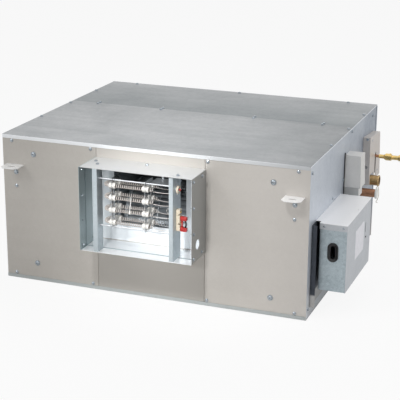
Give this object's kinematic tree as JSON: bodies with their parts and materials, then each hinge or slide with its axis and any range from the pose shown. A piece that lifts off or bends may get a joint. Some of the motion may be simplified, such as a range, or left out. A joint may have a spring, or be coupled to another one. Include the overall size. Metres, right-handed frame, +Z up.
{
  "type": "fan coil unit",
  "caption": "Ducted galvanised fan coil unit with an open-coil heater in its discharge collar, side control box, brass connection and a side-withdrawal filter.",
  "frame": {"origin": "centre of the casing's underside", "axes": "+Z up, +X towards the connection side, -Y towards the discharge"},
  "size_m": [1.1286, 1.0093, 0.476],
  "materials": {
    "galvanised": "hot-dip galvanised sheet, fine spangle",
    "galvanised_warm": "galvanised sheet, warmer and smoother",
    "insulation": "black foam blanket",
    "ceramic": "glazed ivory ceramic",
    "heater_wire": "resistance wire, slightly oxidised",
    "bright_steel": "bright zinc plate",
    "copper": "plain copper tube, slightly tarnished",
    "brass": "machined brass",
    "white_plastic": "moulded white plastic",
    "red_plastic": "red moulded plastic",
    "black_rubber": "black rubber",
    "motor_paint": "dark satin paint",
    "aluminium": "mill-finish fin stock",
    "filter_fibre": "pleated synthetic fibre",
    "cover_grey": "galvanised sheet with a warm grey tone"
  },
  "bodies": {
    "casing": {"base_tray": "galvanised", "side_panel_left": "galvanised", "side_panel_right": "galvanised", "front_panel_left": "galvanised_warm", "front_panel_centre": "galvanised_warm", "front_panel_right": "galvanised_warm", "rear_panel": "galvanised", "top_panel_front": "galvanised", "top_panel_rear": "galvanised", "top_cross_rail": "galvanised", "casing_liner": "insulation", "hanging_bracket_front_left": "galvanised", "hanging_bracket_front_right": "galvanised", "hanging_bracket_rear_left": "galvanised", "hanging_bracket_rear_right": "galvanised", "discharge_collar": "galvanised", "outlet_spigot": "galvanised", "heater_post_left": "galvanised", "heater_post_right": "galvanised", "heater_rod_top": "bright_steel", "heater_rod_bottom": "bright_steel", "rack_brace": "bright_steel", "coil_rack_left": "ceramic", "coil_rack_right": "ceramic", "heating_coil_1": "heater_wire", "heating_coil_2": "heater_wire", "heating_coil_3": "heater_wire", "heating_coil_4": "heater_wire", "thermal_cutout": "ceramic", "terminal_strip": "ceramic", "connector_upper": "red_plastic", "connector_lower": "red_plastic", "scroll_wrapper": "galvanised", "scroll_side_left": "galvanised", "scroll_side_right": "galvanised", "motor_body": "motor_paint", "motor_cradle": "galvanised", "coil_fins": "aluminium", "coil_end_left": "galvanised", "coil_end_right": "galvanised", "header_supply": "copper", "header_return": "copper", "supply_union": "brass", "return_cap": "white_plastic", "vent_pipe": "copper", "vent_fitting": "brass", "drain_pan": "galvanised", "pipe_cover": "cover_grey", "control_box_body": "galvanised", "control_box_cover": "galvanised", "cable_grommet": "black_rubber", "control_box_bracket": "galvanised", "wiring_cover": "galvanised", "filter_track_top": "galvanised", "filter_track_bottom": "galvanised"},
    "fan": {"impeller": "galvanised", "fan_shaft": "bright_steel"},
    "filter": {"filter_frame": "galvanised", "filter_media": "filter_fibre"},
    "reset": {"reset_button": "red_plastic"}
  },
  "joints": [
    {"name": "fan_spin", "type": "hinge", "parent": "casing", "child": "fan", "pos_m": [0, -0.25, 0.215], "axis": [1, 0, 0], "continuous": true},
    {"name": "filter_slide", "type": "slide", "parent": "casing", "child": "filter", "axis": [-1, 0, 0], "range_m": [0, 0.94]},
    {"name": "reset_button_press", "type": "slide", "parent": "casing", "child": "reset", "axis": [-1, 0, 0], "range_m": [0, 0.0015], "stiffness_N_per_m": 400}
  ]
}
